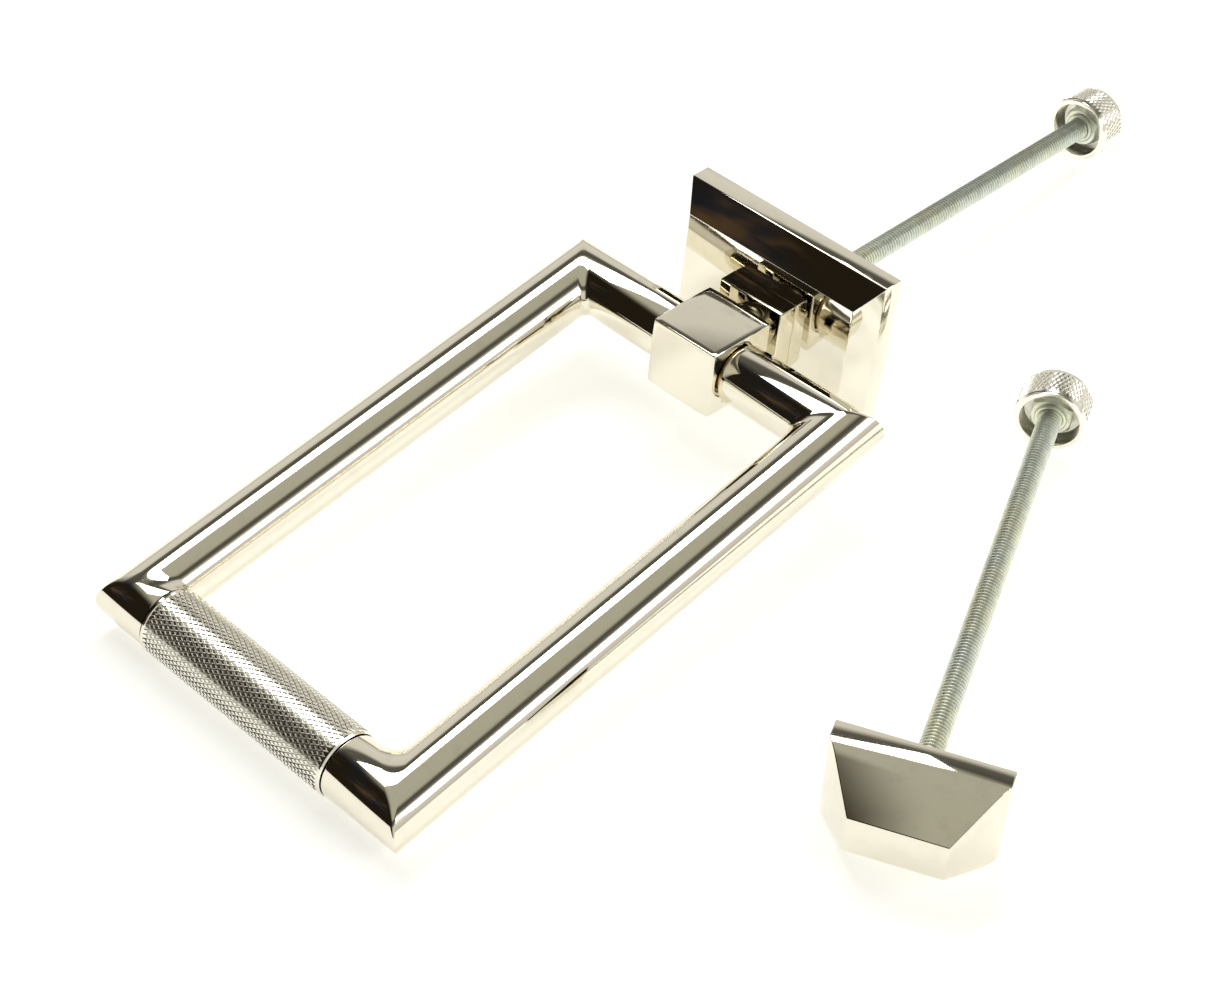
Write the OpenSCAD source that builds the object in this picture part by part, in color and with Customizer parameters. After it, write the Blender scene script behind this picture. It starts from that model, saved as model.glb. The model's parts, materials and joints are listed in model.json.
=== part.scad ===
// Rectangular ring door knocker with its separate strike.
// Both lie on a table: the knocker on its knurled grip, the lower edge of
// its rose and its thumb nut, and the strike on its lower edge and nut.
// X runs along the pivot of the ring, Y towards the door side, Z is up.

/* [Ring] */
// Diameter of the round bar
bar_d = 16; // [12:0.5:18]
// Distance between the axes of the two side bars
ring_w = 83.6; // [80:0.1:110]
// Distance between the pivot axis and the grip axis
ring_h = 144; // [110:1:180]
// Diameter of the axle and of the core inside the grip
axle_d = 10; // [8:0.5:10]

/* [Grip] */
// Outer diameter of the knurled sleeve
sleeve_d = 17; // [16.5:0.1:19]
// Length of the knurled sleeve
sleeve_l = 59.8; // [40:0.1:60]
// Distance of the sleeve's middle from the middle of the grip bar
sleeve_shift = -3.4; // [-3.5:0.1:0]

/* [Hub] */
// Width of the hub block, along the pivot
hub_w = 20.4; // [19:0.1:24]
// Depth of the hub block, towards the door
hub_d = 21; // [20:0.1:24]
// Height of the hub block
hub_h = 19.4; // [19:0.1:24]
// Side of the square neck plate
neck_w = 20.1; // [16:0.1:22]
// Thickness of the neck plate
neck_t = 5.7; // [4:0.1:8]
// Gap between the hub block and the neck plate
spacer_t = 3.5; // [2:0.1:5]

/* [Rose] */
// Width of the rose
rose_w = 62.8; // [54:0.1:80]
// Height of the rose
rose_h = 44.4; // [42:0.1:60]
// How far the middle of the rose stands above the pivot
rose_rise = 2.6; // [0:0.1:3]
// Thickness of the straight rim
rose_rim = 5.8; // [4:0.1:8]
// Depth of the bevel in front of the rim
rose_bevel = 5.5; // [3:0.1:7]
// Width of the bevel at the two sides
bevel_side = 4.8; // [3:0.1:7]
// Width of the bevel at the top and the bottom
bevel_top = 6.8; // [3:0.1:7]

/* [Strike] */
// Width of the strike
strike_w = 39.6; // [34:0.1:50]
// Height of the strike
strike_h = 23.8; // [20:0.1:30]
// Thickness of its straight rim
strike_rim = 4.7; // [3:0.1:7]
// Depth of the slopes in front of the rim
strike_depth = 15.1; // [10:0.1:20]
// Width of the small flat face
face_w = 22.2; // [18:0.1:26]
// Height of the small flat face
face_h = 10.4; // [8:0.1:14]
// Angle between the strike and the knocker on the table
strike_yaw = 23.7; // [20:0.1:30]

/* [Fixings] */
// Outer diameter of the threaded rods
rod_d = 6; // [5:1:6]
// Visible length of each rod, from the back of the plate to the thumb nut
rod_free = 125.2; // [60:0.1:140]
// Outer diameter of the knurled cap of a thumb nut
cap_d = 18.4; // [16:0.1:20]
// Length of the knurled cap
cap_l = 10; // [8:0.1:12]
// Width of the hexagon nut across its flats
nut_af = 10; // [10:0.1:10.5]

/* [Hidden] */
$fn = 64;

// Finishes
nickel = [0.80, 0.78, 0.74];
dark_nickel = [0.62, 0.60, 0.55];
zinc = [0.62, 0.67, 0.66];
bronze = [0.72, 0.53, 0.30];
nylon = [0.90, 0.90, 0.86];

// Running clearance, on the radius, and the side play of the moving pieces
fit = 0.05;
play = 0.3;
// Overshoot of a cutting body past the face that it cuts
cut = 1;

// Ring
bar_r = bar_d / 2;
half_w = ring_w / 2;
sleeve_r = sleeve_d / 2;
bar_end_chamfer = 0.8;
sleeve_chamfer = 0.7;
axle_half = hub_w / 2 + play + 18;
core_depth = 3;

// Hub, along the rod axis from the pivot
hub_shift = 0.6;
hub_back = hub_d / 2 + hub_shift;
neck_front = hub_back + spacer_t;
rose_face = neck_front + neck_t;
rose_front = rose_face + rose_bevel;
rose_back = rose_front + rose_rim;
rod_start = 7;
bush_d = 13;
bush_l = 7;
spacer_d = 14;
pin_d = 2;
pin_half = 2.5;
pin_x = 6.5;

// Thumb nut, measured from the open rim of the cap
cap_mouth_d = 15;
mouth_depth = 1.4;
hex_h = 4.2;
collar_h = 1.8;
collar_d = 9.4;
insert_d = 8;
cap_chamfer = 0.8;
nut_h = hex_h + collar_h;
nut_end = mouth_depth + nut_h;
rod_in_nut = nut_end - 0.6;
pocket_depth = nut_end + 0.4;
round_depth = mouth_depth + collar_h + 2;

// How the knocker lies: the back of its rose and the far end of its cap
// touch the table, and so does the grip at the end of the ring.
cap_r = cap_d / 2;
rose_foot = rose_h / 2 - rose_rise;
hub_tilt = atan((rose_foot - cap_r) / (rod_free + cap_l));
pivot_z = rose_foot * cos(hub_tilt) + rose_back * sin(hub_tilt);
ring_dip = asin((pivot_z - sleeve_r) / ring_h);

// How the strike lies: its back edge and the far end of its cap
strike_tilt = atan((strike_h / 2 - cap_r) / (rod_free + cap_l));
strike_z = strike_h / 2 * cos(strike_tilt);
strike_x = 117.9;
strike_y = -62;

// Middle of the space that both pieces fill, seen from above
low_x = -half_w - bar_r;
rim_reach = strike_rim * cos(strike_tilt) + strike_h / 2 * sin(strike_tilt);
high_x = strike_x + strike_w / 2 * cos(strike_yaw) + rim_reach * sin(strike_yaw);
low_y = -ring_h * cos(ring_dip) - sleeve_r;
high_y = (rose_back + rod_free + cap_l) * cos(hub_tilt) + cap_r * sin(hub_tilt);
middle = [(low_x + high_x) / 2, (low_y + high_y) / 2, 0];

// Places a piece drawn about the pivot, with Y along the rod
module at_hub() {
    translate([0, 0, pivot_z] - middle) rotate([-hub_tilt, 0, 0]) children();
}

// Places a piece drawn about the pivot, with the grip at -ring_h on Y
module at_ring() {
    translate([0, 0, pivot_z] - middle) rotate([ring_dip, 0, 0]) children();
}

// Places a piece drawn about the back of the strike, with Y along its rod
module at_strike() {
    translate([strike_x, strike_y, strike_z] - middle)
        rotate([0, 0, strike_yaw]) rotate([-strike_tilt, 0, 0]) children();
}

// Cylinder along Y from y0 to y1
module along_y(d, y0, y1, sides = $fn) {
    translate([0, y0, 0]) rotate([-90, 0, 0]) cylinder(d = d, h = y1 - y0, $fn = sides);
}

// Cylinder along X from x0 to x1
module along_x(d, x0, x1) {
    translate([x0, 0, 0]) rotate([0, 90, 0]) cylinder(d = d, h = x1 - x0);
}

// Bar along X with both ends chamfered
module chamfered_bar(d, x0, x1, c) {
    r = d / 2;
    rotate([0, 90, 0]) rotate_extrude()
        polygon([[0, x0], [r - c, x0], [r, x0 + c], [r, x1 - c], [r - c, x1], [0, x1]]);
}

// Plate with a straight rim and four slopes to a smaller flat face.
// Its back is at y1 and its face at y0, and the slopes end at y_rim.
module sloped_plate(w, h, w_face, h_face, y0, y_rim, y1) {
    intersection() {
        linear_extrude(h + 2 * cut, center = true)
            polygon([[-w / 2, y1], [-w / 2, y_rim], [-w_face / 2, y0],
                [w_face / 2, y0], [w / 2, y_rim], [w / 2, y1]]);
        rotate([90, 0, 90]) linear_extrude(w + 2 * cut, center = true)
            polygon([[y1, -h / 2], [y_rim, -h / 2], [y0, -h_face / 2],
                [y0, h_face / 2], [y_rim, h / 2], [y1, h / 2]]);
    }
}

// The two small pins that keep the square plates in line
module pin_pair(y) {
    for (side = [-1, 1])
        translate([side * pin_x, 0, 0]) along_y(pin_d, y - pin_half, y + pin_half);
}

module rose() {
    color(nickel) at_hub() difference() {
        translate([0, 0, rose_rise])
            sloped_plate(rose_w, rose_h, rose_w - 2 * bevel_side, rose_h - 2 * bevel_top,
                rose_face, rose_front, rose_back);
        along_y(rod_d, rose_face - cut, rose_back + cut);
        pin_pair(rose_face);
    }
}

module neck_plate() {
    color(nickel) at_hub() difference() {
        translate([-neck_w / 2, neck_front, -neck_w / 2]) cube([neck_w, neck_t, neck_w]);
        along_y(rod_d, neck_front - cut, rose_face + cut);
        pin_pair(rose_face);
    }
}

module neck_spacer() {
    color(dark_nickel) at_hub() difference() {
        along_y(spacer_d, hub_back, neck_front);
        along_y(rod_d, hub_back - cut, neck_front + cut);
    }
}

module locating_pins() {
    color(zinc) at_hub() pin_pair(rose_face);
}

module hub_block() {
    color(nickel) at_hub() difference() {
        translate([-hub_w / 2, hub_shift - hub_d / 2, -hub_h / 2]) cube([hub_w, hub_d, hub_h]);
        along_x(bush_d, -hub_w / 2 - cut, hub_w / 2 + cut);
        along_y(rod_d, 0, hub_back + cut);
    }
}

// side is -1 for the left bush and 1 for the right one
module pivot_bush(side) {
    outer = side * hub_w / 2;
    inner = side * (hub_w / 2 - bush_l);
    color(bronze) at_hub() difference() {
        along_x(bush_d, min(outer, inner), max(outer, inner));
        along_x(axle_d + 2 * fit, -hub_w, hub_w);
    }
}

module mounting_rod() {
    color(zinc) at_hub() along_y(rod_d, rod_start, rose_back + rod_free + rod_in_nut);
}

module pivot_axle() {
    color(zinc) at_ring() along_x(axle_d, -axle_half, axle_half);
}

// Bar between the hub and a mitred corner
module top_bar(side) {
    near = hub_w / 2 + play;
    far = half_w + bar_r;
    color(nickel) at_ring() mirror([side < 0 ? 1 : 0, 0, 0]) difference() {
        intersection() {
            chamfered_bar(bar_d, near, far + cut + bar_end_chamfer, bar_end_chamfer);
            linear_extrude(bar_d + 2 * cut, center = true)
                polygon([[0, bar_r + cut], [far + cut, bar_r + cut],
                    [half_w - bar_r - cut, -bar_r - cut], [0, -bar_r - cut]]);
        }
        along_x(axle_d, 0, axle_half);
    }
}

// Long bar between two mitred corners
module side_bar(side) {
    color(nickel) at_ring() mirror([side < 0 ? 1 : 0, 0, 0]) intersection() {
        translate([half_w, 0, 0]) along_y(bar_d, -ring_h - bar_r, bar_r);
        linear_extrude(bar_d + 2 * cut, center = true)
            polygon([[half_w - bar_r - cut, -bar_r - cut], [half_w + bar_r + cut, bar_r + cut],
                [half_w + bar_r + cut, -ring_h - bar_r - cut],
                [half_w - bar_r - cut, -ring_h + bar_r + cut]]);
    }
}

// Short bar between the sleeve and a mitred corner
module grip_bar(side) {
    near = sleeve_l / 2 + side * sleeve_shift + play;
    far = half_w + bar_r;
    color(nickel) at_ring() translate([0, -ring_h, 0]) mirror([side < 0 ? 1 : 0, 0, 0])
        difference() {
            intersection() {
                along_x(bar_d, near, far);
                linear_extrude(bar_d + 2 * cut, center = true)
                    polygon([[0, -bar_r - cut], [far + cut, -bar_r - cut],
                        [half_w - bar_r - cut, bar_r + cut], [0, bar_r + cut]]);
            }
            along_x(axle_d, 0, near + core_depth);
        }
}

module grip_core() {
    color(zinc) at_ring() translate([0, -ring_h, 0])
        along_x(axle_d, sleeve_shift - sleeve_l / 2 - play - core_depth,
            sleeve_shift + sleeve_l / 2 + play + core_depth);
}

module grip_sleeve() {
    color(dark_nickel) at_ring() translate([sleeve_shift, -ring_h, 0]) difference() {
        chamfered_bar(sleeve_d, -sleeve_l / 2, sleeve_l / 2, sleeve_chamfer);
        along_x(axle_d + 2 * fit, -sleeve_l, sleeve_l);
    }
}

// Thumb nut pieces, drawn with the open rim of the cap at y = 0
module nut_insert() {
    color(nylon) difference() {
        along_y(insert_d - 2 * fit, mouth_depth, mouth_depth + collar_h - fit);
        along_y(rod_d + 2 * fit, 0, nut_end);
    }
}

module nut_hex() {
    color(zinc) difference() {
        union() {
            along_y(collar_d, mouth_depth, nut_end);
            along_y(nut_af / cos(30), mouth_depth + collar_h, nut_end, 6);
        }
        along_y(insert_d, mouth_depth - cut, mouth_depth + collar_h);
        along_y(rod_d + 2 * fit, 0, nut_end + cut);
    }
}

module nut_cap() {
    color(dark_nickel) difference() {
        rotate([-90, 0, 0]) rotate_extrude()
            polygon([[0, 0], [cap_r - cap_chamfer, 0], [cap_r, cap_chamfer],
                [cap_r, cap_l], [0, cap_l]]);
        along_y(cap_mouth_d, -cut, round_depth);
        along_y(nut_af / cos(30), 0, nut_end, 6);
        along_y(rod_d + 1, 0, pocket_depth);
    }
}

module at_thumb_nut() {
    at_hub() translate([0, rose_back + rod_free, 0]) children();
}

module at_strike_nut() {
    at_strike() translate([0, rod_free, 0]) children();
}

module strike_block() {
    color(nickel) at_strike() difference() {
        sloped_plate(strike_w, strike_h, face_w, face_h,
            -strike_rim - strike_depth, -strike_rim, 0);
        along_y(rod_d, -strike_rim - strike_depth / 2, cut);
    }
}

module strike_rod() {
    color(zinc) at_strike()
        along_y(rod_d, -strike_rim - strike_depth / 2, rod_free + rod_in_nut);
}

rose();
neck_plate();
neck_spacer();
locating_pins();
hub_block();
pivot_bush(-1);  // pivot_bush_left
pivot_bush(1);  // pivot_bush_right
mounting_rod();
pivot_axle();
top_bar(-1);  // top_bar_left
top_bar(1);  // top_bar_right
side_bar(-1);  // side_bar_left
side_bar(1);  // side_bar_right
grip_bar(-1);  // grip_bar_left
grip_bar(1);  // grip_bar_right
grip_core();
grip_sleeve();
at_thumb_nut() nut_insert();  // thumb_nut_insert
at_thumb_nut() nut_hex();  // thumb_nut_hex
at_thumb_nut() nut_cap();  // thumb_nut_cap
strike_block();
strike_rod();
at_strike_nut() nut_insert();  // strike_nut_insert
at_strike_nut() nut_hex();  // strike_nut_hex
at_strike_nut() nut_cap();  // strike_nut_cap
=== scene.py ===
"""Looks of a ring door knocker and its strike, laid out as a Blender add-on."""
import json
import math

import bmesh
import bpy
from mathutils import Matrix, Vector


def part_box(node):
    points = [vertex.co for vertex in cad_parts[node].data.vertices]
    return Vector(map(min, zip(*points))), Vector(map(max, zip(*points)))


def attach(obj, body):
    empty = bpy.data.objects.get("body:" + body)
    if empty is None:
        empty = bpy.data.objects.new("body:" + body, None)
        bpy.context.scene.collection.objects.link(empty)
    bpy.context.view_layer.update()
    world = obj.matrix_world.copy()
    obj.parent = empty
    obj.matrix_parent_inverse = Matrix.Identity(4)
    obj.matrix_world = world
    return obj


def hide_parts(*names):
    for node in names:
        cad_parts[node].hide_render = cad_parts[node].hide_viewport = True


bl_info = {
    "name": "Ring Door Knocker",
    "version": (1, 0, 0),
    "blender": (4, 5, 0),
    "location": "3D View > Sidebar > Knocker",
    "description": "Builds the visible pieces, finishes and studio of a ring door knocker",
    "category": "Object",
}

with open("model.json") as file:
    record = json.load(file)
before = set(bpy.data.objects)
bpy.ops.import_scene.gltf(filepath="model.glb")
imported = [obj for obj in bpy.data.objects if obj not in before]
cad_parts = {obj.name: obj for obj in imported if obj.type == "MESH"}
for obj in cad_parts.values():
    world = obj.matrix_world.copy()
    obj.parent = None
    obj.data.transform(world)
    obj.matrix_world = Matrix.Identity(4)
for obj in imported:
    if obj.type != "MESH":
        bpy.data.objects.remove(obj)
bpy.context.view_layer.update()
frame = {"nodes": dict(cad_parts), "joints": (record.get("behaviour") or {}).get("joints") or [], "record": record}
JOINTS = {joint["name"]: joint for joint in frame["joints"]}
MOUNTS = {mount["name"]: mount for mount in frame["record"]["mounts"]}
UP = Vector((0, 0, 1))


def own_axes(origin, x, y):
    """Matrix of a piece that is modelled about its own X and Y axes."""
    x, y = Vector(x).normalized(), Vector(y).normalized()
    matrix = Matrix((x, y, x.cross(y))).transposed().to_4x4()
    matrix.translation = origin
    return matrix


PIVOT = Vector(JOINTS["ring_swing"]["pos_m"])
GRIP = Vector(JOINTS["grip_turn"]["pos_m"])
ROD_WAY = Vector(JOINTS["thumb_nut_travel"]["axis"])
STRIKE_WAY = Vector(JOINTS["strike_nut_travel"]["axis"])
HUB_AXES = own_axes(PIVOT, (1, 0, 0), ROD_WAY)
RING_AXES = own_axes(PIVOT, (1, 0, 0), PIVOT - GRIP)
GRIP_AXES = own_axes(GRIP, (1, 0, 0), PIVOT - GRIP)
NUT_AXES = own_axes(JOINTS["thumb_nut_turn"]["pos_m"], (1, 0, 0), ROD_WAY)
STRIKE_AXES = own_axes(MOUNTS["strike_stud"]["pos_m"], STRIKE_WAY.cross(UP), STRIKE_WAY)
STRIKE_NUT_AXES = own_axes(JOINTS["strike_nut_turn"]["pos_m"], STRIKE_WAY.cross(UP), STRIKE_WAY)
# A piece that is turned about Z stands along Y once it has had this quarter turn.
Z_TO_Y = Matrix.Rotation(-math.pi / 2, 4, "X")


def length(name, description, default):
    return bpy.props.FloatProperty(
        name=name, description=description, default=default, unit="LENGTH", precision=5, min=0.0)


def colour(name, description, default):
    return bpy.props.FloatVectorProperty(
        name=name, description=description, default=default, subtype="COLOR", min=0.0, max=1.0)


class KnockerSizes(bpy.types.PropertyGroup):
    bar_radius: length("Bar radius", "Radius of the round bars of the ring", 0.008)
    ring_width: length("Ring width", "Distance between the two side bars", 0.0836)
    stub_start: length("Stub start", "Where the top bars begin, from the middle", 0.0105)
    stub_chamfer: length("Stub chamfer", "Chamfer of the top bars beside the hub", 0.0008)
    lower_blend: length("Lower blend", "How far the polishing has rounded the mitres beside the grip", 0.0042)
    upper_blend: length("Upper blend", "How far the polishing has rounded the mitres beside the hub", 0.0019)
    hub_width: length("Hub width", "Width of the hub block along the pivot", 0.0204)
    hub_depth: length("Hub depth", "Depth of the hub block towards the door", 0.021)
    hub_height: length("Hub height", "Height of the hub block", 0.0194)
    hub_shift: length("Hub shift", "How far the hub block's middle is behind the pivot", 0.0006)
    hub_crown: length("Hub crown", "How far the block's faces bulge", 0.0003)
    neck_side: length("Neck side", "Side of the square neck plate", 0.0201)
    neck_front: length("Neck front", "Where the neck plate begins, from the pivot", 0.0146)
    neck_back: length("Neck back", "Where the neck plate meets the rose", 0.0203)
    edge: length("Edge", "Radius that polishing leaves on sharp edges", 0.00035)
    rose_width: length("Rose width", "Width of the rose", 0.0628)
    rose_height: length("Rose height", "Height of the rose", 0.0444)
    rose_rise: length("Rose rise", "Height of the rose's middle above the pivot", 0.0026)
    rose_rim: length("Rose rim", "Thickness of the rose's straight rim", 0.0058)
    rose_bevel: length("Rose bevel", "Depth of the rose's bevel", 0.0055)
    bevel_side: length("Side bevel", "Width of the rose's bevel at the sides", 0.0048)
    bevel_top: length("Top bevel", "Width of the rose's bevel at the top and bottom", 0.0068)
    strike_width: length("Strike width", "Width of the strike", 0.0396)
    strike_height: length("Strike height", "Height of the strike", 0.0238)
    strike_rim: length("Strike rim", "Thickness of the strike's straight rim", 0.0047)
    strike_depth: length("Strike depth", "Depth of the strike's slopes", 0.0151)
    strike_round: length(
        "Strike rounding", "How far the upper and lower slopes curve in from the rim", 0.0044)
    face_width: length("Face width", "Width of the strike's small face", 0.0222)
    face_height: length("Face height", "Height of the strike's small face", 0.0104)
    thread_pitch: length("Thread pitch", "Pitch of the rod's thread", 0.001)
    rod_radius: length("Rod radius", "Radius of the rods over the thread", 0.003)
    root_radius: length("Root radius", "Radius of the rods at the root of the thread", 0.00246)
    sleeve_radius: length("Sleeve radius", "Radius of the knurled sleeve", 0.0085)
    sleeve_length: length("Sleeve length", "Length of the knurled sleeve", 0.0598)
    cap_radius: length("Cap radius", "Radius of the thumb nut's cap", 0.0092)
    cap_length: length("Cap length", "Length of the thumb nut's cap", 0.01)
    cap_mouth: length("Cap mouth", "Radius of the opening of the thumb nut's cap", 0.0075)
    knurl_pitch: length("Knurl pitch", "Distance between the knurl's diamonds, around the bar", 0.00124)
    knurl_length: length("Knurl length", "Length of one diamond along the bar", 0.0023)
    knurl_groove: length("Knurl groove", "Half the width of the grooves between the diamonds", 0.00026)
    knurl_depth: length("Knurl depth", "Depth of the knurl", 0.0003)


class KnockerFinishes(bpy.types.PropertyGroup):
    nickel: colour("Nickel", "Polished nickel", (0.83, 0.79, 0.675))
    # Paler and brighter than the polished nickel: painted light for the bright reflections that the knurled
    # diamonds catch.
    knurled: colour("Knurled nickel", "Nickel on the knurls", (0.93, 0.905, 0.82))
    zinc: colour("Zinc", "Zinc plate on the rods and nuts", (0.80, 0.85, 0.78))
    bronze: colour("Bronze", "Pivot bushes", (0.62, 0.42, 0.21))
    nylon: colour("Nylon", "Locking rings of the nuts", (0.80, 0.82, 0.80))
    table: colour("Table", "Table top", (0.94, 0.94, 0.93))


# Shader nodes

class Value:
    """An output socket that takes part in Python sums and products."""

    def __init__(self, finish, socket):
        self.finish, self.socket = finish, socket

    def math(self, operation, first, second):
        return self.finish.node("ShaderNodeMath", {"operation": operation}, {0: first, 1: second})

    def __add__(self, other):
        return self.math("ADD", self, other)

    def __radd__(self, other):
        return self.math("ADD", other, self)

    def __sub__(self, other):
        return self.math("SUBTRACT", self, other)

    def __rsub__(self, other):
        return self.math("SUBTRACT", other, self)

    def __mul__(self, other):
        return self.math("MULTIPLY", self, other)

    def __rmul__(self, other):
        return self.math("MULTIPLY", other, self)


class Finish:
    """The node tree of one material, or of the world."""

    def __init__(self, owner):
        owner.use_nodes = True
        self.owner, self.tree = owner, owner.node_tree
        self.tree.nodes.clear()

    def node(self, kind, settings=None, inputs=None, output=0):
        """One node. Its settings come first, then the values or links of its sockets."""
        made = self.tree.nodes.new(kind)
        for name, value in (settings or {}).items():
            if name == "stops":
                self.set_stops(made.color_ramp, value)
            else:
                setattr(made, name, value)
        for name, value in (inputs or {}).items():
            if isinstance(value, Value):
                self.tree.links.new(value.socket, made.inputs[name])
            else:
                made.inputs[name].default_value = value
        return Value(self, made.outputs[output]) if made.outputs else None

    @staticmethod
    def set_stops(ramp, stops):
        while len(ramp.elements) < len(stops):
            ramp.elements.new(1.0)
        for element, (position, level) in zip(ramp.elements, stops):
            element.position = position
            element.color = (*level, 1.0) if isinstance(level, tuple) else (level,) * 3 + (1.0,)

    def place(self):
        return self.node("ShaderNodeTexCoord", output="Object")

    def groove(self):
        """How deep the surface lies below the crests of a knurl or thread, from 0 to 1"""
        return self.node("ShaderNodeAttribute", {"attribute_name": "groove"}, output="Fac")

    def noise(self, scale, detail=3.0, roughness=0.5, vector=None):
        return self.node("ShaderNodeTexNoise", {}, {
            "Vector": vector or self.place(), "Scale": scale, "Detail": detail, "Roughness": roughness})

    def smooth(self, value, low, high, start=0.0, end=1.0):
        """value's way from low to high, eased, as a number from start to end"""
        return self.node("ShaderNodeMapRange", {"interpolation_type": "SMOOTHSTEP"}, {
            0: value, 1: low, 2: high, 3: start, 4: end})

    def mix(self, factor, first, second):
        """Two colours mixed by a factor"""
        return self.node("ShaderNodeMix", {"data_type": "RGBA"}, {
            0: factor, 6: self.rgba(first), 7: self.rgba(second)}, output=2)

    @staticmethod
    def rgba(value):
        return value if isinstance(value, Value) else (*value[:3], 1.0)

    def bump(self, height, distance, strength=1.0):
        return self.node("ShaderNodeBump", {}, {
            "Height": height, "Distance": distance, "Strength": strength})


def shade(tint, factor):
    return tuple(channel * factor for channel in tint[:3])


def metal(name, base, roughness, normal):
    finish = base.finish
    shader = finish.node("ShaderNodeBsdfPrincipled", {}, {
        "Base Color": base, "Roughness": roughness, "Metallic": 1.0, "Normal": normal})
    finish.node("ShaderNodeOutputMaterial", {}, {"Surface": shader})
    return finish.owner


def polished_nickel(name, tint):
    """Mirror nickel with the faint waves and haze of hand polishing"""
    finish = Finish(bpy.data.materials.new(name))
    waves = finish.noise(95.0, 1.0, 0.4)
    haze = finish.smooth(finish.noise(240.0, 5.0, 0.62), 0.5, 0.72)
    specks = finish.smooth(finish.noise(2600.0, 1.0, 0.5), 0.74, 0.80)
    base = finish.mix(haze * 0.5 + specks * 0.35, tint, shade(tint, 0.88))
    roughness = 0.045 + haze * 0.05 + specks * 0.12
    return metal(name, base, roughness, finish.bump(waves, 0.00003))


def knurled_nickel(name, tint):
    """Nickel that is duller in the grooves between the diamonds, with painted shade darkening the grooves"""
    finish = Finish(bpy.data.materials.new(name))
    wear = finish.smooth(finish.noise(900.0, 3.0, 0.6), 0.45, 0.7)
    patches = finish.noise(140.0, 3.0, 0.6)
    groove = finish.groove()
    # Painted shade: the colour darkens towards the bottom of each groove between the diamonds.
    base = finish.mix(groove * 0.25, finish.mix(wear * 0.4, tint, shade(tint, 0.9)), shade(tint, 0.55))
    roughness = 0.14 + patches * 0.08 + wear * 0.06 + groove * 0.14
    return metal(name, base, roughness, finish.bump(finish.noise(3000.0, 2.0, 0.5), 0.000004))


def zinc_plate(name, tint):
    """Clear zinc plate, slightly green, with a mottled dull shine"""
    finish = Finish(bpy.data.materials.new(name))
    mottle = finish.noise(420.0, 4.0, 0.65)
    drift = finish.smooth(finish.noise(60.0, 2.0, 0.5), 0.35, 0.65)
    warm = (tint[0] * 1.06, tint[1] * 1.0, tint[2] * 0.86)
    groove = finish.groove()
    plate = finish.mix(finish.smooth(mottle, 0.4, 0.7), finish.mix(drift, tint, warm), shade(tint, 0.84))
    # Painted shade: the colour darkens towards the roots of the thread.
    base = finish.mix(groove * 0.75, plate, shade(tint, 0.38))
    roughness = 0.34 + mottle * 0.14 + groove * 0.12
    return metal(name, base, roughness, finish.bump(finish.noise(2400.0, 3.0, 0.6), 0.00001))


def bearing_bronze(name, tint):
    """Plain bearing bronze with darker pores"""
    finish = Finish(bpy.data.materials.new(name))
    pores = finish.smooth(finish.noise(1500.0, 2.0, 0.5), 0.6, 0.75)
    base = finish.mix(pores, tint, shade(tint, 0.5))
    return metal(name, base, 0.3 + pores * 0.3, finish.bump(pores, 0.00001))


def moulded_nylon(name, tint):
    """Milky nylon with a faint cloudiness"""
    finish = Finish(bpy.data.materials.new(name))
    cloud = finish.noise(700.0, 3.0, 0.55)
    base = finish.mix(cloud, tint, shade(tint, 0.86))
    shader = finish.node("ShaderNodeBsdfPrincipled", {}, {
        "Base Color": base, "Roughness": 0.38 + cloud * 0.15,
        "Normal": finish.bump(cloud, 0.00001)})
    finish.node("ShaderNodeOutputMaterial", {}, {"Surface": shader})
    return finish.owner


def table_top(name, tint):
    """Smooth white table top"""
    finish = Finish(bpy.data.materials.new(name))
    grain = finish.noise(40.0, 3.0, 0.5)
    base = finish.mix(grain, tint, shade(tint, 0.99))
    shader = finish.node("ShaderNodeBsdfPrincipled", {}, {
        "Base Color": base, "Roughness": 0.6 + grain * 0.1, "Specular IOR Level": 0.25,
        "Emission Color": (1.0, 1.0, 0.97, 1.0), "Emission Strength": 0.54})
    finish.node("ShaderNodeOutputMaterial", {}, {"Surface": shader})
    return finish.owner


def finish_for(kind):
    """The material of that kind, made once"""
    makers = {"nickel": polished_nickel, "knurled": knurled_nickel, "zinc": zinc_plate,
              "bronze": bearing_bronze, "nylon": moulded_nylon, "table": table_top}
    name = "finish_" + kind
    tints = bpy.context.scene.knocker_finishes
    return bpy.data.materials.get(name) or makers[kind](name, tuple(getattr(tints, kind)))


# Modelling

def clear():
    if bpy.context.object and bpy.context.object.mode != "OBJECT":
        bpy.ops.object.mode_set(mode="OBJECT")
    bpy.ops.object.select_all(action="DESELECT")


def pick(*pieces):
    clear()
    for piece in pieces:
        piece.select_set(True)
    bpy.context.view_layer.objects.active = pieces[0]
    return pieces[0]


def added(name):
    """The primitive just added, with its place and turn in its mesh"""
    piece = bpy.context.object
    piece.name = piece.data.name = name
    bpy.ops.object.transform_apply(location=True, rotation=True, scale=True)
    return piece


def block(name, low, high):
    clear()
    low, high = Vector(low), Vector(high)
    bpy.ops.mesh.primitive_cube_add(size=1, location=(low + high) / 2, scale=high - low)
    return added(name)


def rod_along(name, axis, radius, start, end, sides=96, centre=(0, 0, 0)):
    """Cylinder along one of the axes, from start to end"""
    clear()
    way = {"X": Vector((1, 0, 0)), "Y": Vector((0, 1, 0)), "Z": Vector((0, 0, 1))}[axis]
    turn = {"X": (0, math.pi / 2, 0), "Y": (-math.pi / 2, 0, 0), "Z": (0, 0, 0)}[axis]
    bpy.ops.mesh.primitive_cylinder_add(
        vertices=sides, radius=radius, depth=end - start, rotation=turn,
        location=Vector(centre) + way * (start + end) / 2)
    return added(name)


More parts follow.
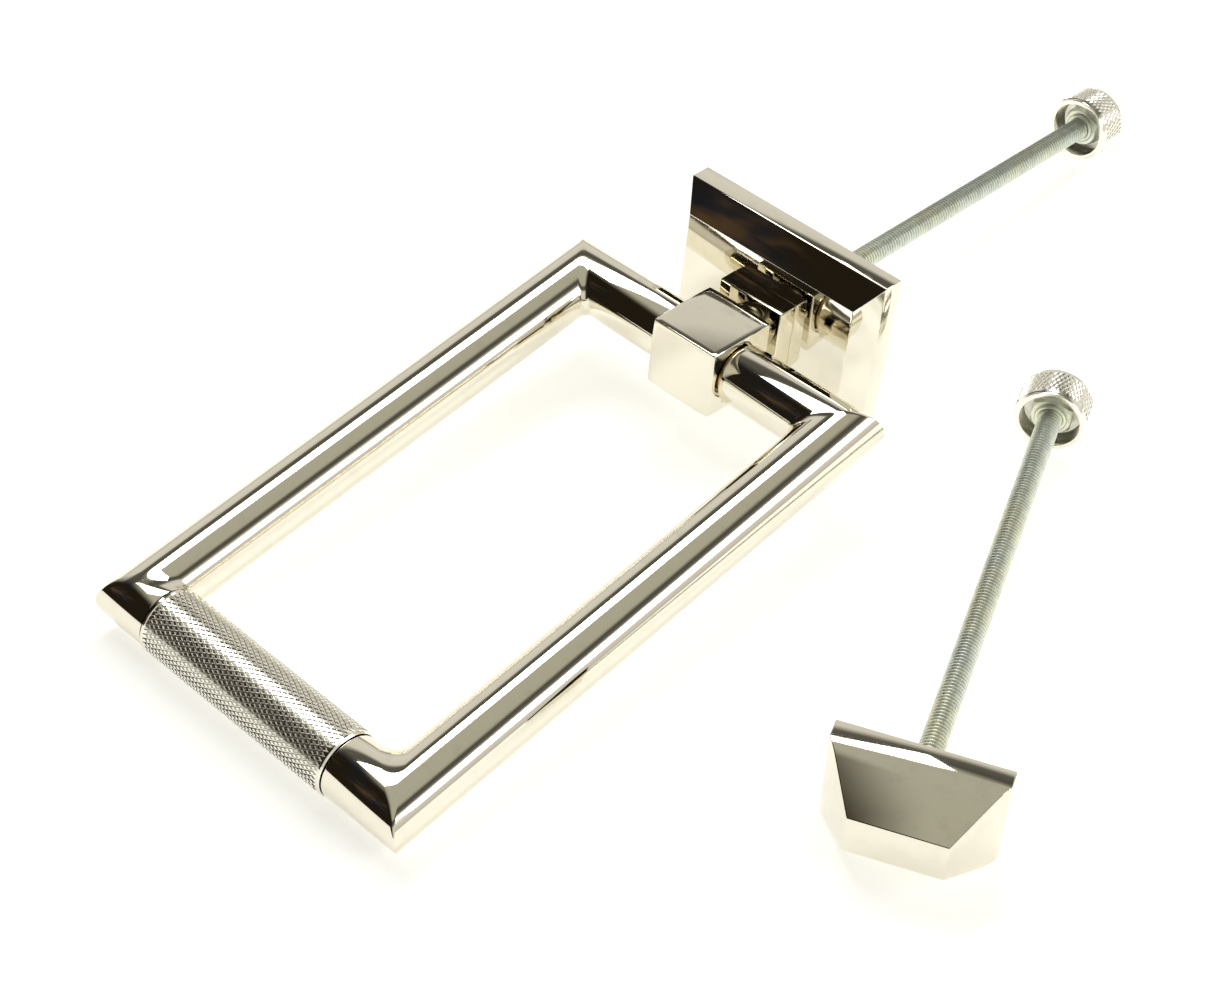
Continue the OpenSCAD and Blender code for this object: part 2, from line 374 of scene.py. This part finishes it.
def select_where(piece, kind, test):
    """Edit mode, with only the faces, edges or vertices that pass the test selected"""
    pick(piece)
    bpy.ops.object.mode_set(mode="EDIT")
    bpy.ops.mesh.select_mode(type=kind)
    bpy.ops.mesh.select_all(action="DESELECT")
    mesh = bmesh.from_edit_mesh(piece.data)
    items = {"FACE": mesh.faces, "EDGE": mesh.edges, "VERT": mesh.verts}[kind]
    chosen = [item for item in items if test(item)]
    for item in chosen:
        item.select_set(True)
    bmesh.update_edit_mesh(piece.data)
    if not chosen:
        raise RuntimeError("nothing to shape on " + piece.name)


def leave_edit():
    bpy.ops.object.mode_set(mode="OBJECT")


def modified(piece, kind, **settings):
    pick(piece)
    modifier = piece.modifiers.new(kind.lower(), kind)
    for name, value in settings.items():
        setattr(modifier, name, value)
    bpy.ops.object.modifier_apply(modifier=modifier.name)
    return piece


def cut(piece, tool, operation="DIFFERENCE"):
    modified(piece, "BOOLEAN", operation=operation, object=tool, solver="EXACT")
    bpy.data.objects.remove(tool, do_unlink=True)
    return piece


def softened(piece, width, segments=3, angle=0.5):
    return modified(piece, "BEVEL", width=width, segments=segments, limit_method="ANGLE",
                    angle_limit=angle, harden_normals=False)


def joined(*pieces):
    piece = pick(*pieces)
    bpy.ops.object.join()
    return piece


def mended(piece, distance=1e-6):
    pick(piece)
    bpy.ops.object.mode_set(mode="EDIT")
    bpy.ops.mesh.select_all(action="SELECT")
    bpy.ops.mesh.remove_doubles(threshold=distance)
    bpy.ops.mesh.normals_make_consistent(inside=False)
    leave_edit()
    return piece


def moved(piece, axes):
    """Moves and turns the mesh, and leaves the object at the origin"""
    pick(piece)
    piece.matrix_world = axes
    bpy.ops.object.transform_apply(location=True, rotation=True, scale=True)
    return piece


def placed(piece, axes):
    """Moves the finished mesh to its place and smooths it"""
    moved(piece, axes)
    bpy.ops.object.shade_smooth_by_angle(angle=math.radians(28))
    return piece


def countersunk(piece, back, height=0.0):
    """Widens the mouth of the rod's hole at the back of a plate"""
    reach = 0.001
    return cut(piece, rod_along("countersink", "Y", sizes().rod_radius + 0.0005, back - reach,
                                back + reach, 48, centre=(0, 0, height)))


def dressed(piece, kind, body, *nodes, slot=None):
    """Gives the piece its finish and body, and hides the nodes that it stands for"""
    piece.data.materials.clear()
    piece.data.materials.append(finish_for(kind))
    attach(piece, body)
    if nodes:
        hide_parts(*nodes)
    return piece


def sizes():
    return bpy.context.scene.knocker_sizes


def frame_half(side, grip_start):
    """Top bar, side bar and grip bar of one side, brazed and polished into one"""
    s = sizes()
    r, half, drop = s.bar_radius, s.ring_width / 2, (PIVOT - GRIP).length
    # The bars run past the corners, and are cut back to the planes of the mitres.
    over = 2 * r
    grip_chamfer = 0.0003
    top = rod_along("top", "X", r, s.stub_start, half + over)
    long = rod_along("long", "Y", r, -drop - over, over, centre=(half, 0, 0))
    foot = rod_along("foot", "X", r, grip_start, half + over, centre=(0, -drop, 0))
    upper = (Vector((half, 0, 0)), Vector((1, -1, 0)))
    lower = (Vector((half, -drop, 0)), Vector((1, 1, 0)))
    for piece, plane, keep_inner in (
            (top, upper, True), (long, upper, False), (long, lower, False), (foot, lower, True)):
        select_where(piece, "FACE", lambda face: True)
        bpy.ops.mesh.bisect(plane_co=plane[0], plane_no=plane[1].normalized(), use_fill=False,
                            clear_outer=keep_inner, clear_inner=not keep_inner)
        leave_edit()
    half_ring = mended(joined(long, top, foot), 1e-5)
    # The polishing rounds the inside of each mitre more than its outer point, and stops
    # short of the end of the short bar.
    mesh = bmesh.new()
    mesh.from_mesh(half_ring.data)
    weights = mesh.edges.layers.float.new("bevel_weight_edge")
    for edge in mesh.edges:
        middle = (edge.verts[0].co + edge.verts[1].co) / 2
        for (point, normal), near, blend in (
                (upper, s.stub_start, s.upper_blend), (lower, grip_start, s.lower_blend)):
            if all(abs((vert.co - point).dot(normal)) < 2e-6 for vert in edge.verts):
                wanted = blend * min(1.0, max(0.06, 0.55 - 0.5 * (middle - point).x / r))
                edge[weights] = min(wanted, 0.7 * (middle.x - near)) / s.lower_blend
    mesh.to_mesh(half_ring.data)
    mesh.free()
    modified(half_ring, "BEVEL", width=s.lower_blend, segments=10, limit_method="WEIGHT",
             use_clamp_overlap=False)
    for start, chamfer in ((s.stub_start, s.stub_chamfer), (grip_start, grip_chamfer)):
        select_where(half_ring, "EDGE", lambda edge: all(abs(v.co.x - start) < 1e-6 for v in edge.verts))
        bpy.ops.mesh.bevel(offset=chamfer, segments=2, affect="EDGES")
        leave_edit()
    if side < 0:
        pick(half_ring)
        half_ring.scale = (-1, 1, 1)
        bpy.ops.object.transform_apply(location=False, rotation=False, scale=True)
    mended(half_ring)
    return half_ring


class KNOCKER_OT_ring(bpy.types.Operator):
    """Builds the two polished halves of the ring"""
    bl_idname = "knocker.ring"
    bl_label = "Ring"

    def execute(self, context):
        for side, word in ((-1, "left"), (1, "right")):
            low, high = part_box("grip_bar_" + word)
            near = low[0] if side > 0 else high[0]
            piece = frame_half(side, abs(near - PIVOT.x))
            piece.name = piece.data.name = "ring_half_" + word
            placed(piece, RING_AXES)
            dressed(piece, "nickel", "ring", "top_bar_" + word, "side_bar_" + word,
                    "grip_bar_" + word, slot="polished_nickel")
        return {"FINISHED"}


def grooved(piece, depth_at):
    """Marks how deep each point lies below the crests, from 0 to 1, for the finish to read"""
    marks = piece.data.attributes.new("groove", "FLOAT", "POINT")
    for vert, mark in zip(piece.data.vertices, marks.data):
        mark.value = min(1.0, max(0.0, depth_at(vert.co)))
    return piece


def knurl_band(name, radius, start, end):
    """Rows of small diamonds wrapped round the X axis, open at both ends"""
    s = sizes()
    around = round(2 * math.pi * radius / s.knurl_pitch)
    across = 2 * math.pi * radius / around
    rows = max(2, round((end - start) / (s.knurl_length / 2)) - 1)
    step = (end - start) / (rows + 1)
    # One diamond: a low four-sided hill with a small worn flat on its top
    clear()
    bpy.ops.mesh.primitive_circle_add(vertices=4, radius=1, fill_type="NGON")
    diamond = added(name)
    select_where(diamond, "FACE", lambda face: True)
    bpy.ops.transform.resize(value=(across / 2, step, 1))
    bpy.ops.mesh.inset(thickness=s.knurl_groove, depth=s.knurl_depth)
    leave_edit()
    modified(diamond, "ARRAY", count=around, use_relative_offset=False, use_constant_offset=True,
             constant_offset_displace=(across, 0, 0), use_merge_vertices=True, merge_threshold=1e-6)
    modified(diamond, "ARRAY", count=rows, use_relative_offset=False, use_constant_offset=True,
             constant_offset_displace=(across / 2, step, 0), use_merge_vertices=True, merge_threshold=1e-6)
    for vert in diamond.data.vertices:
        turn = vert.co.x / radius
        reach = radius - s.knurl_depth + abs(vert.co.z)
        vert.co = (start + step + vert.co.y, reach * math.sin(turn), reach * math.cos(turn))
    mended(diamond)
    return grooved(diamond, lambda at: (radius - math.hypot(at.y, at.z)) / s.knurl_depth)


def tube(name, outer, inner, start, end, chamfer):
    """Plain tube along X with chamfered outer ends"""
    over = 0.001
    body = softened(rod_along(name, "X", outer, start, end), chamfer, 1)
    return cut(body, rod_along("bore", "X", inner, start - over, end + over))


class KNOCKER_OT_grip(bpy.types.Operator):
    """Builds the knurled sleeve of the grip"""
    bl_idname = "knocker.grip"
    bl_label = "Grip"

    def execute(self, context):
        s = sizes()
        low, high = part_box("grip_sleeve")
        start, end = low[0] - GRIP.x, high[0] - GRIP.x
        plain_end, ring_length = 0.0009, 0.0013
        bore, ring_bore = 0.00505, 0.0055
        knurl = knurl_band("knurled_sleeve", s.sleeve_radius, start + plain_end, end - plain_end)
        core = tube("core", s.sleeve_radius - s.knurl_depth * 0.8, bore, start, end, 0.0002)
        piece = joined(knurl, core)
        placed(piece, GRIP_AXES)
        dressed(piece, "knurled", "grip", "grip_sleeve", slot="turned_nickel")
        for word, near in (("left", start), ("right", end - ring_length)):
            ring = tube("sleeve_ring_" + word, s.sleeve_radius - 0.00005, ring_bore,
                        near, near + ring_length, 0.0004)
            placed(ring, GRIP_AXES)
            dressed(ring, "nickel", "grip", slot="turned_nickel")
        return {"FINISHED"}


def crowned(piece, crown):
    """Pulls the edges of a block in so that its faces bulge slightly"""
    select_where(piece, "FACE", lambda face: True)
    bpy.ops.mesh.subdivide(number_cuts=11)
    leave_edit()
    points = [vert.co for vert in piece.data.vertices]
    low = Vector([min(p[i] for p in points) for i in range(3)])
    high = Vector([max(p[i] for p in points) for i in range(3)])
    middle, reach = (low + high) / 2, (high - low) / 2
    for vert in piece.data.vertices:
        share = [(vert.co[i] - middle[i]) / reach[i] for i in range(3)]
        for i in range(3):
            others = share[i - 1] ** 2 + share[i - 2] ** 2
            if abs(share[i]) > 0.999:
                vert.co[i] -= math.copysign(crown * others / 2, share[i])
    return piece


class KNOCKER_OT_hub(bpy.types.Operator):
    """Builds the hub block and the neck plate"""
    bl_idname = "knocker.hub"
    bl_label = "Hub and neck"

    def execute(self, context):
        s = sizes()
        w, d, h = s.hub_width / 2, s.hub_depth / 2, s.hub_height / 2
        hub = crowned(block("hub", (-w, s.hub_shift - d, -h), (w, s.hub_shift + d, h)), s.hub_crown)
        softened(hub, s.edge, 3, 0.9)
        # Shallow round seats where the bars of the ring enter
        seat_depth, over = 0.0004, 0.002
        seat_radius = s.bar_radius + 0.0004
        cut(hub, rod_along("left_seat", "X", seat_radius, -w - over, seat_depth - w))
        cut(hub, rod_along("right_seat", "X", seat_radius, w - seat_depth, w + over))
        placed(hub, HUB_AXES)
        dressed(hub, "nickel", "knocker_base", "hub_block", slot="polished_nickel")
        side = s.neck_side / 2
        neck = block("neck", (-side, s.neck_front, -side), (side, s.neck_back, side))
        softened(neck, s.edge * 1.3)
        placed(neck, HUB_AXES)
        dressed(neck, "nickel", "knocker_base", "neck_plate", slot="polished_nickel")
        return {"FINISHED"}


class KNOCKER_OT_rose(bpy.types.Operator):
    """Builds the rose: a plate with a straight rim whose front slopes to a smaller face"""
    bl_idname = "knocker.rose"
    bl_label = "Rose"

    def execute(self, context):
        s = sizes()
        wide, tall = s.rose_width, s.rose_height
        rim_front = s.neck_back + s.rose_bevel
        back = rim_front + s.rose_rim
        rose = block("door_rose", (-wide / 2, rim_front, -tall / 2), (wide / 2, back, tall / 2))
        select_where(rose, "FACE", lambda face: face.normal.y < -0.9)
        bpy.ops.mesh.extrude_region_move(TRANSFORM_OT_translate={"value": (0, -s.rose_bevel, 0)})
        bpy.ops.transform.resize(value=(1 - 2 * s.bevel_side / wide, 1, 1 - 2 * s.bevel_top / tall),
                                 center_override=(0, s.neck_back, 0))
        leave_edit()
        softened(rose, s.edge * 0.7)
        countersunk(rose, back, -s.rose_rise)
        placed(rose, HUB_AXES @ Matrix.Translation((0, 0, s.rose_rise)))
        dressed(rose, "nickel", "knocker_base", "rose", slot="polished_nickel")
        return {"FINISHED"}


class KNOCKER_OT_strike(bpy.types.Operator):
    """Builds the strike"""
    bl_idname = "knocker.strike"
    bl_label = "Strike"

    def execute(self, context):
        s = sizes()
        wide, tall = s.strike_width, s.strike_height
        strike = block("strike_plate", (-wide / 2, -s.strike_rim, -tall / 2), (wide / 2, 0, tall / 2))
        select_where(strike, "FACE", lambda face: face.normal.y < -0.9)
        # The ends slope straight from the rim. Above and below, the slope curves in from it.
        steepest = (tall - s.face_height) / 2 / (s.strike_depth - s.strike_round / 2)
        last = (0.0, wide, tall)
        parts = 12
        depths = [s.strike_round * part / parts for part in range(1, parts + 1)] + [s.strike_depth]
        for depth in depths:
            curved, straight = min(depth, s.strike_round), max(0.0, depth - s.strike_round)
            drop = steepest * (curved ** 2 / (2 * s.strike_round) + straight)
            ring = (depth, wide - (wide - s.face_width) * depth / s.strike_depth, tall - 2 * drop)
            bpy.ops.mesh.extrude_region_move(TRANSFORM_OT_translate={"value": (0, last[0] - depth, 0)})
            bpy.ops.transform.resize(value=(ring[1] / last[1], 1, ring[2] / last[2]),
                                     center_override=(0, -s.strike_rim - depth, 0))
            last = ring
        leave_edit()
        softened(strike, s.edge * 0.7, 3, 0.35)
        countersunk(strike, 0.0)
        placed(strike, STRIKE_AXES)
        dressed(strike, "nickel", "strike", "strike_block", slot="polished_nickel")
        return {"FINISHED"}


def threaded_rod(name, start, end):
    """Rod along Y with a cut thread over its whole length"""
    s = sizes()
    pitch, crest, root = s.thread_pitch, s.rod_radius - 0.00002, s.root_radius
    turns = int((end - start) / pitch) - 1
    clear()
    bpy.ops.mesh.primitive_plane_add(size=1)
    piece = added(name)
    bpy.ops.object.mode_set(mode="EDIT")
    bpy.ops.mesh.select_all(action="SELECT")
    bpy.ops.mesh.delete(type="VERT")
    leave_edit()
    # Half section of one turn: root, flank, crest and flank
    outline = [(root, 0.0), (root, 0.2), (crest, 0.5), (crest, 0.7), (root, 1.0)]
    mesh = bmesh.new()
    verts = [mesh.verts.new((radius, 0, start + rise * pitch)) for radius, rise in outline]
    for first, second in zip(verts, verts[1:]):
        mesh.edges.new((first, second))
    mesh.to_mesh(piece.data)
    mesh.free()
    modified(piece, "SCREW", axis="Z", screw_offset=pitch, iterations=turns, steps=20, render_steps=20,
             use_merge_vertices=True, merge_threshold=1e-6, use_smooth_shade=True)
    select_where(piece, "EDGE", lambda edge: edge.is_boundary)
    bpy.ops.mesh.fill_holes(sides=0)
    leave_edit()
    grooved(mended(piece), lambda at: (crest - math.hypot(at.x, at.y)) / (crest - root))
    moved(piece, Z_TO_Y)
    core = softened(rod_along("core", "Y", root + 0.00004, start, end, 32), 0.0006, 1)
    return joined(piece, core)


class KNOCKER_OT_rods(bpy.types.Operator):
    """Builds the two threaded rods"""
    bl_idname = "knocker.rods"
    bl_label = "Threaded rods"

    def execute(self, context):
        s = sizes()
        back = s.neck_back + s.rose_bevel + s.rose_rim
        free = (Vector(JOINTS["thumb_nut_turn"]["pos_m"]) - PIVOT).dot(ROD_WAY) - back
        # How far behind the pivot the rod begins, and how far it reaches into its nut
        first, inside = 0.007, 0.0068
        rod = threaded_rod("knocker_threaded_rod", first, back + free + inside)
        placed(rod, HUB_AXES)
        dressed(rod, "zinc", "knocker_base", "mounting_rod", slot="zinc_steel")
        rod = threaded_rod("strike_threaded_rod", -s.strike_rim - s.strike_depth / 2, free + inside)
        placed(rod, STRIKE_AXES)
        dressed(rod, "zinc", "strike", "strike_rod", slot="zinc_steel")
        return {"FINISHED"}


def hexagon_nut(name):
    """Lock nut along Y: chamfered hexagon with the round collar of its nylon ring"""
    mouth, collar, end = 0.0009, 0.0009, 0.0074
    across_flats, chamfered_radius, dome_radius = 0.01, 0.00575, 0.00412
    nut = rod_along(name, "Y", across_flats / math.sqrt(3), mouth + collar, end, 6)
    cone = softened(rod_along("cone", "Y", chamfered_radius, mouth + collar, end, 64), 0.0008, 1)
    cut(nut, cone, "INTERSECT")
    dome = rod_along("dome", "Y", dome_radius, mouth, mouth + collar + 0.0005, 64)
    select_where(dome, "FACE", lambda face: face.normal.y < -0.9)
    bpy.ops.mesh.inset(thickness=0.0007, depth=0)
    bpy.ops.mesh.inset(thickness=0.0008, depth=-0.0004)
    leave_edit()
    softened(dome, 0.0006, 4)
    return joined(nut, dome)


def thumb_cap(name):
    """Cap along X, open at the low end, with its knurl"""
    s = sizes()
    r, end, depth = s.cap_radius, s.cap_length, 0.0052
    core, lip = r - s.knurl_depth * 0.8, 0.0005
    cap = rod_along(name, "X", core, 0, end)
    select_where(cap, "FACE", lambda face: face.normal.x < -0.9)
    bpy.ops.mesh.inset(thickness=core - s.cap_mouth, depth=0)
    bpy.ops.mesh.extrude_region_move(TRANSFORM_OT_translate={"value": (depth, 0, 0)})
    leave_edit()
    softened(cap, 0.00035, 2)
    # The pocket is marked as fully grooved inside, so the finish makes it duller and paints shade into it.
    slack = 0.0001
    grooved(cap, lambda at: float(math.hypot(at.y, at.z) < s.cap_mouth + slack
                                  and lip < at.x < depth + slack))
    rim = tube("rim", r - 0.00005, s.cap_mouth + 0.0002, 0.0001, 0.0016, 0.0008)
    knurl = knurl_band("knurl", r, 0.0014, end - 0.0004)
    return joined(cap, rim, knurl)


class KNOCKER_OT_thumb_nuts(bpy.types.Operator):
    """Builds the two knurled thumb nuts with the lock nuts inside"""
    bl_idname = "knocker.thumb_nuts"
    bl_label = "Thumb nuts"

    def execute(self, context):
        to_y = Matrix.Rotation(math.pi / 2, 4, "Z")
        for word, axes, body in (("thumb_nut", NUT_AXES, "thumb_nut"),
                                 ("strike_nut", STRIKE_NUT_AXES, "strike_nut")):
            cap = placed(thumb_cap(word + "_knurled_cap"), axes @ to_y)
            dressed(cap, "knurled", body, word + "_cap", slot="turned_nickel")
            nut = placed(hexagon_nut(word + "_lock_nut"), axes)
            dressed(nut, "zinc", body, word + "_hex", slot="zinc_steel")
        return {"FINISHED"}


class KNOCKER_OT_inner_parts(bpy.types.Operator):
    """Gives the inner pieces their finishes"""
    bl_idname = "knocker.inner_parts"
    bl_label = "Inner parts"

    def execute(self, context):
        kinds = {"neck_spacer": "nickel", "locating_pins": "zinc", "pivot_bush_left": "bronze",
                 "pivot_bush_right": "bronze", "pivot_axle": "zinc", "grip_core": "zinc",
                 "thumb_nut_insert": "nylon", "strike_nut_insert": "nylon"}
        for node, kind in kinds.items():
            mesh = frame["nodes"][node].data
            for index in range(len(mesh.materials)):
                mesh.materials[index] = finish_for(kind)
        return {"FINISHED"}


def studio_light(name, power, size, aim, azimuth, elevation, distance):
    """Soft box that faces the aim from an azimuth, measured from +Y towards +X"""
    way = Vector((math.sin(azimuth) * math.cos(elevation), math.cos(azimuth) * math.cos(elevation),
                  math.sin(elevation)))
    clear()
    bpy.ops.object.light_add(type="AREA", location=Vector(aim) + way * distance)
    light = bpy.context.object
    light.name = name
    light.data.shape = "RECTANGLE"
    light.data.size, light.data.size_y = size
    light.data.energy = power
    light.rotation_euler = way.to_track_quat("Z", "Y").to_euler()
    return light


def studio_world():
    """Pale surroundings behind the table, dim above it and dark behind the viewer"""
    finish = Finish(bpy.context.scene.world)
    way = finish.node("ShaderNodeTexCoord", output="Generated")
    height = finish.node("ShaderNodeSeparateXYZ", {}, {0: way}, output=2)
    bands = finish.node("ShaderNodeValToRGB", {"stops": [
        (0.0, (0.60, 0.58, 0.53)), (0.30, (0.78, 0.76, 0.71)), (0.56, (0.72, 0.70, 0.64)),
        (0.64, (0.12, 0.115, 0.10)), (0.75, (0.08, 0.077, 0.067)), (0.83, (0.46, 0.445, 0.36)),
        (1.0, (0.48, 0.47, 0.40))]}, {0: height})
    facing = finish.node("ShaderNodeVectorMath", {"operation": "DOT_PRODUCT"},
                         {0: way, 1: (-0.53, -0.85, 0.0)}, output=1)
    front = finish.smooth(facing, 0.22, 0.55)
    room = finish.smooth(finish.noise(2.6, 3.0, 0.6, way), 0.56, 0.76)
    tint = finish.smooth(finish.noise(1.4, 1.0, 0.5, way), 0.45, 0.62)
    shadow = finish.mix(tint, (0.016, 0.012, 0.007), (0.012, 0.014, 0.020))
    dark = finish.mix(room, shadow, (0.085, 0.05, 0.024))
    level = finish.mix(front, bands, dark)
    background = finish.node("ShaderNodeBackground", {}, {"Color": level, "Strength": 1.0})
    finish.node("ShaderNodeOutputWorld", {}, {"Surface": background})


# Where the camera stands, the ways that it looks and holds its top, and its lens in mm
CAMERA_PLACE = (0.25793, -0.37812, 0.43547)
CAMERA_WAY = (-0.47967, 0.53390, -0.69632)
CAMERA_TOP = (-0.49709, 0.48860, 0.71706)
CAMERA_LENS = 76.17
TABLE_SIDE = 30.0
# The table lies just under the lowest point, so that the two don't flicker.
TABLE_LEVEL = -0.00002


class KNOCKER_OT_stage(bpy.types.Operator):
    """Builds the table, the light and the camera"""
    bl_idname = "knocker.stage"
    bl_label = "Stage"

    def execute(self, context):
        scene = context.scene
        clear()
        bpy.ops.mesh.primitive_plane_add(size=TABLE_SIDE, location=(0, 0, TABLE_LEVEL))
        table = added("table")
        table.data.materials.append(finish_for("table"))
        if scene.world is None:
            scene.world = bpy.data.worlds.new("studio")
        studio_world()
        aim = (0.0, 0.0, 0.02)
        studio_light("overhead_soft_box", 3.8, (0.86, 0.32), aim,
                     math.radians(-64), math.radians(61), 1.0)
        studio_light("side_soft_box", 2.1, (0.60, 0.27), aim, math.radians(64), math.radians(27), 0.95)
        clear()
        bpy.ops.object.camera_add(location=CAMERA_PLACE)
        camera = context.object
        camera.name = "camera"
        forward = Vector(CAMERA_WAY).normalized()
        right = forward.cross(Vector(CAMERA_TOP)).normalized()
        camera.rotation_euler = Matrix((right, right.cross(forward), -forward)).transposed().to_euler()
        camera.data.sensor_width = 36.0
        camera.data.lens = CAMERA_LENS
        camera.data.clip_start = 0.01
        scene.camera = camera
        scene.view_settings.view_transform = "Standard"
        return {"FINISHED"}


class KNOCKER_PT_panel(bpy.types.Panel):
    bl_idname = "KNOCKER_PT_panel"
    bl_label = "Door Knocker"
    bl_space_type = "VIEW_3D"
    bl_region_type = "UI"
    bl_category = "Knocker"

    def draw(self, context):
        for operator in OPERATORS:
            self.layout.operator(operator.bl_idname)
        for group in (context.scene.knocker_sizes, context.scene.knocker_finishes):
            column = self.layout.column()
            for name in group.__annotations__:
                column.prop(group, name)


OPERATORS = (
    KNOCKER_OT_stage, KNOCKER_OT_ring, KNOCKER_OT_grip, KNOCKER_OT_hub, KNOCKER_OT_rose,
    KNOCKER_OT_strike, KNOCKER_OT_rods, KNOCKER_OT_thumb_nuts, KNOCKER_OT_inner_parts)
CLASSES = (KnockerSizes, KnockerFinishes) + OPERATORS + (KNOCKER_PT_panel,)


def register():
    for item in CLASSES:
        bpy.utils.register_class(item)
    bpy.types.Scene.knocker_sizes = bpy.props.PointerProperty(type=KnockerSizes)
    bpy.types.Scene.knocker_finishes = bpy.props.PointerProperty(type=KnockerFinishes)


def unregister():
    del bpy.types.Scene.knocker_finishes
    del bpy.types.Scene.knocker_sizes
    for item in reversed(CLASSES):
        bpy.utils.unregister_class(item)


def main():
    register()
    for operator in OPERATORS:
        group, name = operator.bl_idname.split(".")
        getattr(getattr(bpy.ops, group), name)()


if __name__ == "__main__":
    main()
